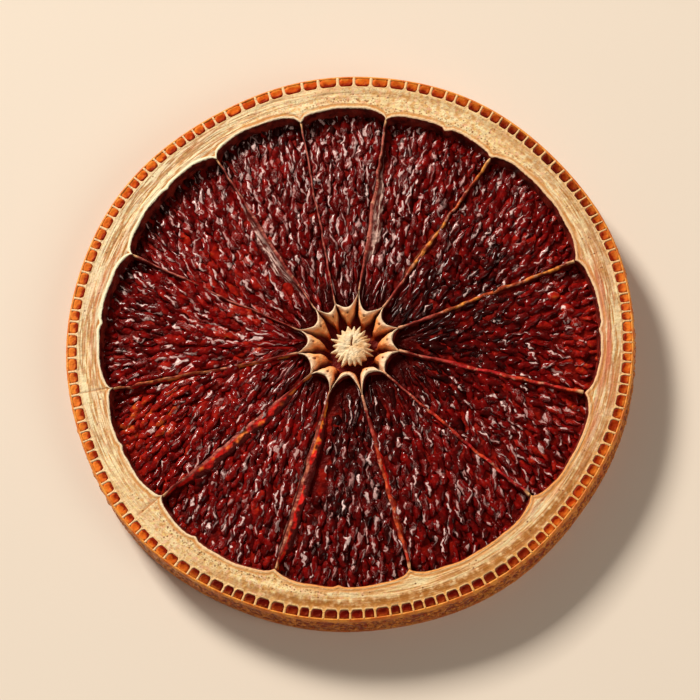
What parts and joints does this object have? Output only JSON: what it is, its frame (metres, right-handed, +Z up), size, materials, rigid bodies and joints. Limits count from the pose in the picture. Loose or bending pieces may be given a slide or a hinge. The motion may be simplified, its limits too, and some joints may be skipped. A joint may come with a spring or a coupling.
{
  "type": "dried blood orange slice",
  "caption": "Round dried blood orange slice: a ring of peel and pale pith round recessed wedges of dark flesh, with thin membranes and a star-shaped core.",
  "frame": {"origin": "middle of the underside, on the surface that the slice lies on", "axes": "+Z up, out of the upper cut face; +Y towards the wedge between the bearings 347 and 8 degrees"},
  "size_m": [0.0664, 0.0664, 0.006],
  "materials": {
    "flesh": "dried juice sacs, dark maroon to bright red, glossy",
    "pith": "dried spongy pith, cream, matte",
    "peel": "dried pebbled skin, orange-brown, satin",
    "membrane": "thin dried skin, red-brown to cream, satin",
    "core": "dried pith of the core, cream to tan, matte"
  },
  "bodies": {
    "root": {"slice": "flesh"}
  },
  "joints": []
}
